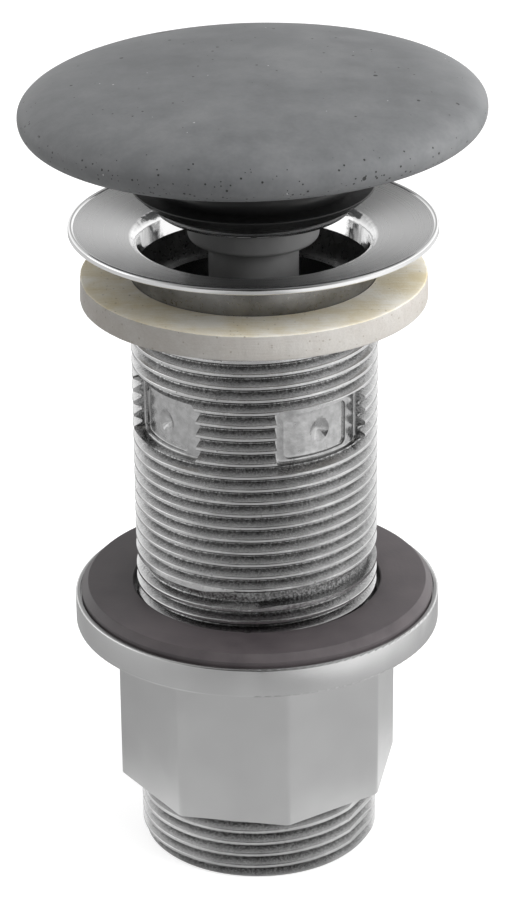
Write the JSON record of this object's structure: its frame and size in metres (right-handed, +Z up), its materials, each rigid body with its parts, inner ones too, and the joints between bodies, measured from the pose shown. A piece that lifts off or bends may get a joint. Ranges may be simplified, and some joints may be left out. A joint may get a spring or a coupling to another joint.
{
  "type": "sprung plug basin waste",
  "caption": "Push-to-open basin waste with a cast disc cap on a sprung latching plug, dished flange, threaded tube with overflow windows, gaskets and a flanged outlet nut.",
  "frame": {"origin": "centre of the outlet's lower end face, on which the part stands", "axes": "+Z up along the tube towards the cap, -Y towards the picture's camera"},
  "size_m": [0.0776, 0.0776, 0.1417],
  "materials": {
    "concrete": "matt cast concrete, mid grey, fine pinholes",
    "brass_insert": "turned",
    "steel": "bright",
    "black_rubber": "satin black",
    "chrome": "polished",
    "grey_plastic": "matt moulded",
    "white_plastic": "matt moulded",
    "plated_body": "satin top, polished throat, plated thread",
    "beige_gasket": "matt foam rubber, beige",
    "dark_rubber": "satin dark grey-brown",
    "satin_nut": "satin plated"
  },
  "bodies": {
    "housing": {"waste_body": "plated_body", "basin_gasket": "beige_gasket", "guide_barrel": "grey_plastic", "barrel_washer": "steel", "fixing_screw": "steel", "lock_washer": "steel", "lock_nut": "steel", "return_spring": "steel"},
    "pusher": {"plunger": "white_plastic"},
    "latch": {"latch_ring": "white_plastic", "latch_pin": "steel"},
    "plug": {"cap": "concrete", "cap_bush": "brass_insert", "plug_screw": "steel", "plug_seal": "black_rubber", "seal_plate": "chrome", "outer_sleeve": "grey_plastic", "sleeve_collar": "grey_plastic"},
    "clamp": {"nut_gasket": "dark_rubber"},
    "nut": {"outlet_nut": "satin_nut"}
  },
  "joints": [
    {"name": "plug_press", "type": "slide", "parent": "housing", "child": "pusher", "axis": [0, 0, 1], "range_m": [-0.0085, 0], "stiffness_N_per_m": 900, "springref_m": 0.006, "deforming": ["return_spring"]},
    {"name": "latch_swing", "type": "hinge", "parent": "pusher", "child": "latch", "pos_m": [0, 0, 0.115], "axis": [0, 0, 1], "range_deg": [-24.5, 0]},
    {"name": "plug_turn", "type": "hinge", "parent": "pusher", "child": "plug", "pos_m": [0, 0, 0.115], "axis": [0, 0, 1], "continuous": true},
    {"name": "nut_travel", "type": "slide", "parent": "housing", "child": "clamp", "axis": [0, 0, 1], "range_m": [-0.006, 0.019]},
    {"name": "nut_turn", "type": "hinge", "parent": "clamp", "child": "nut", "pos_m": [0, 0, 0.03], "axis": [0, 0, 1], "range_deg": [-935, 2962]}
  ],
  "couplings": [
    {"joint": "latch_swing", "follows": "plug_press", "rad_per_m": 49.137},
    {"joint": "nut_travel", "follows": "nut_turn", "m_per_rad": 0.00036749}
  ]
}
